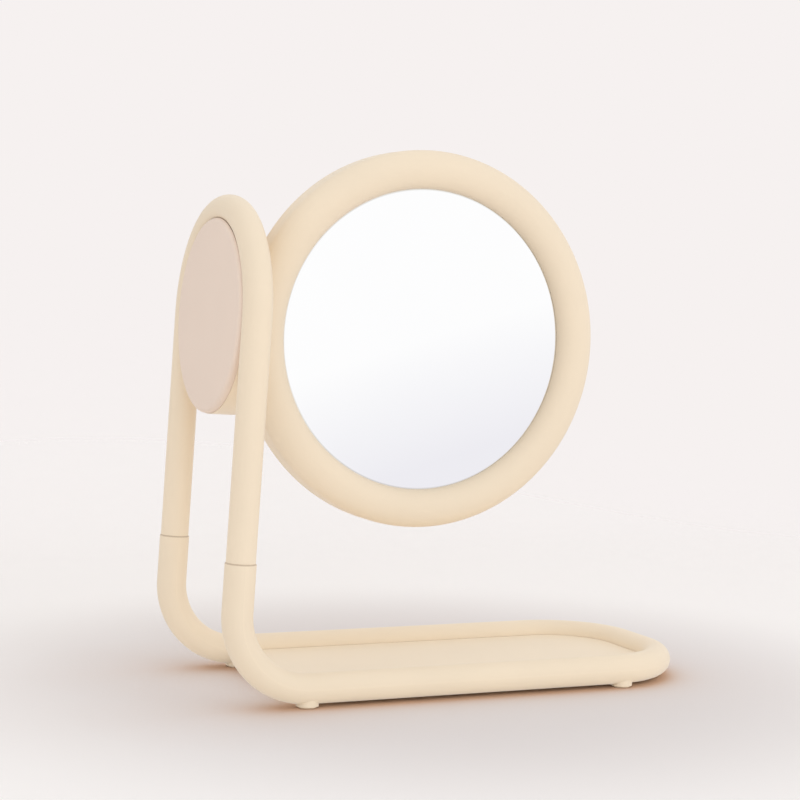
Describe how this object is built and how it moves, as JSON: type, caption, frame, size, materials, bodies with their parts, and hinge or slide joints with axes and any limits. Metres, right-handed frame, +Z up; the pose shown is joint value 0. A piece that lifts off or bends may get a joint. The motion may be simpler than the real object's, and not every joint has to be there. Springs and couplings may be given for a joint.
{
  "type": "vanity mirror with tray",
  "caption": "Round framed vanity mirror carried from one side by a leaning tubular hoop on a tubular tray base; the mirror turns on a drum pivot.",
  "frame": {"origin": "on the supporting surface, under the middle of the object's bounding box", "axes": "+Z up; +X along the tray, from the hoop to the front bar; Y across the tray, the object's shortest extent, with the viewer and the glass on the -Y side"},
  "size_m": [0.26, 0.119, 0.2693],
  "materials": {
    "cream_plastic": "satin",
    "face_plastic": "satin",
    "mirror_glass": "polished",
    "foam": "matte",
    "foot_rubber": "matte",
    "bush_plastic": "satin",
    "steel": "brushed"
  },
  "bodies": {
    "stand": {"upper_hoop": "cream_plastic", "leg_spigots": "cream_plastic", "base_upper_shell": "cream_plastic", "base_lower_shell": "cream_plastic", "tray_panel": "cream_plastic", "base_screws": "steel", "foot_pads": "foot_rubber", "drum_housing": "cream_plastic", "drum_face_plate": "face_plastic", "hoop_screws": "steel", "pivot_bush": "bush_plastic"},
    "mirror_head": {"pivot_arm": "cream_plastic", "friction_washer": "bush_plastic", "thrust_washer": "steel", "disc_spring": "steel", "lock_nut": "steel", "mirror_bezel": "cream_plastic", "mirror_rear_shell": "cream_plastic", "arm_screws": "steel", "mirror_glass": "mirror_glass", "glass_foam_pad": "foam"}
  },
  "joints": [
    {"name": "mirror_turn", "type": "hinge", "parent": "stand", "child": "mirror_head", "pos_m": [-0.11563, 0, 0.18401], "axis": [0.9955, 0, -0.095], "continuous": true}
  ]
}
